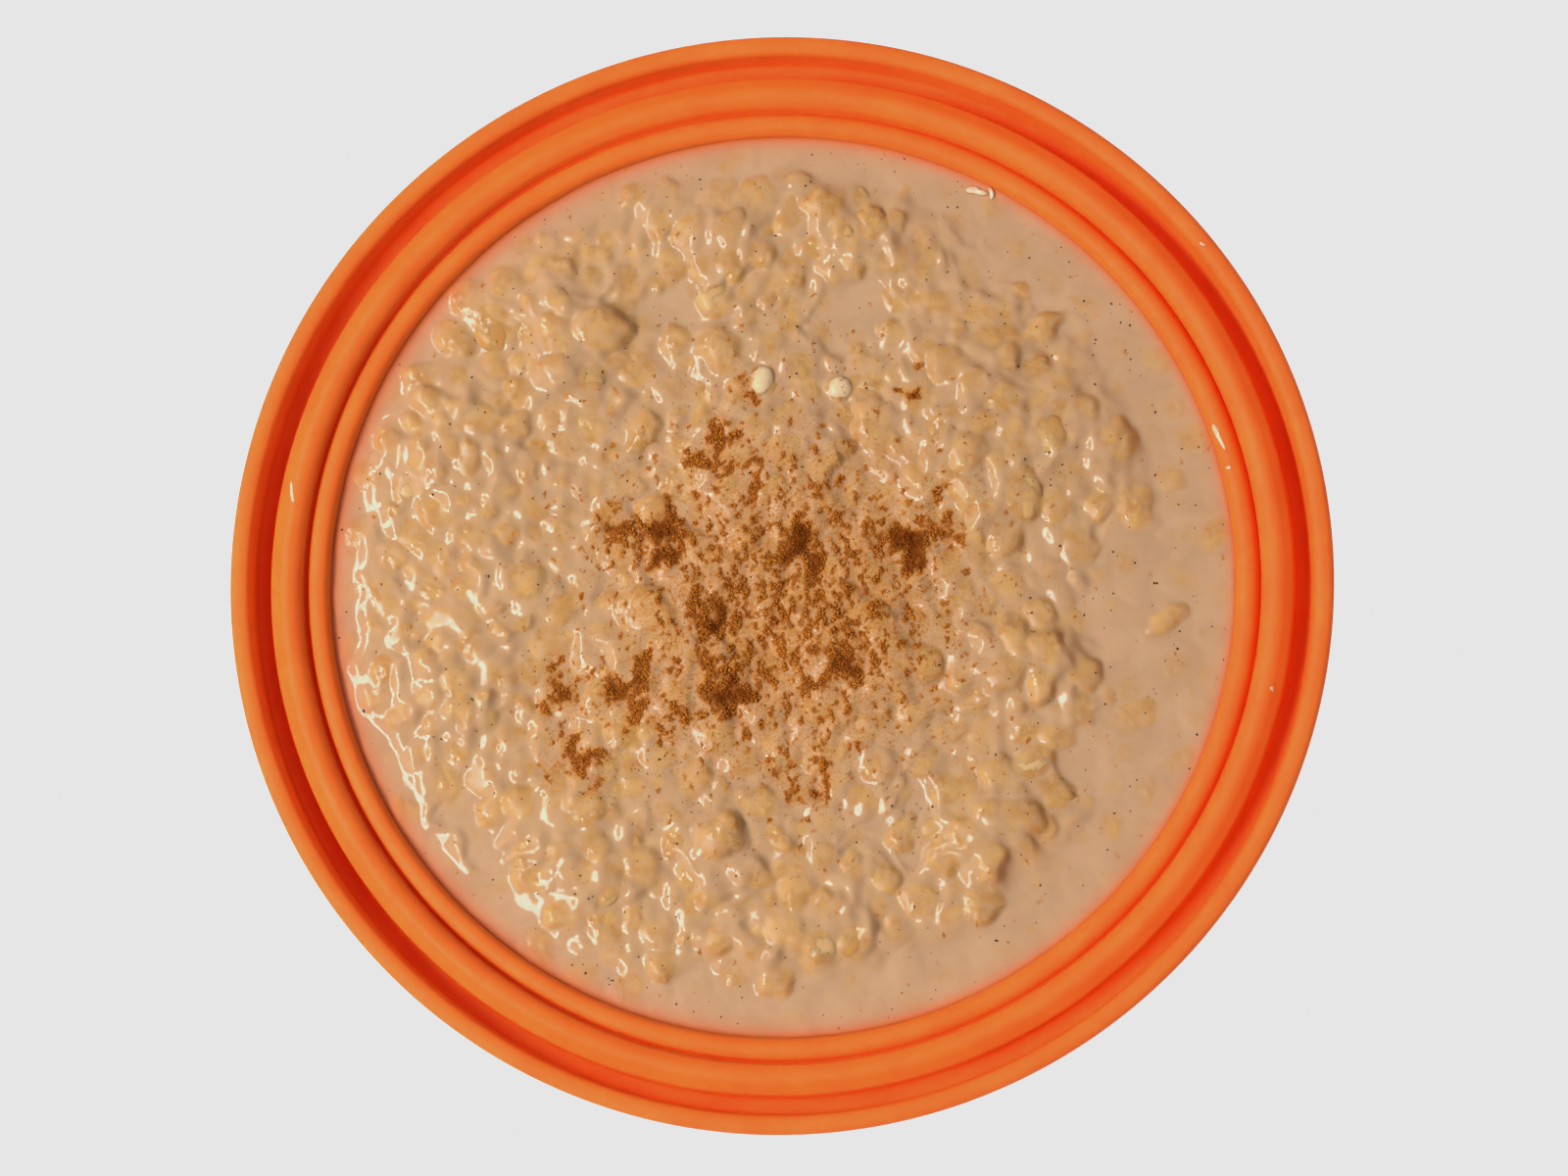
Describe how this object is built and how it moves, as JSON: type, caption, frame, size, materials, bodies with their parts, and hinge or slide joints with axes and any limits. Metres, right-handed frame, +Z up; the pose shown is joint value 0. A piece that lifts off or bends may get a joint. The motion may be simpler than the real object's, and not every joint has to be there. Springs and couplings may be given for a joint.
{
  "type": "bowl of rice pudding",
  "caption": "Round stepped-rim plastic bowl filled nearly to its lip with milky rice pudding dusted with cinnamon, to be served as a dessert.",
  "frame": {"origin": "centre of the base, on the plane that the foot ring stands on", "axes": "+Z up out of the bowl's mouth; +X and +Y lie in the rim's plane, and the +X side is where most milk covers the rice"},
  "size_m": [0.18, 0.18, 0.056],
  "materials": {
    "bowl_plastic": "smooth moulded orange plastic with a soft shine, slightly translucent",
    "pudding": "wet, glossy, pale beige milk and swollen rice with brown cinnamon"
  },
  "bodies": {
    "root": {"bowl": "bowl_plastic", "pudding": "pudding"}
  },
  "joints": []
}
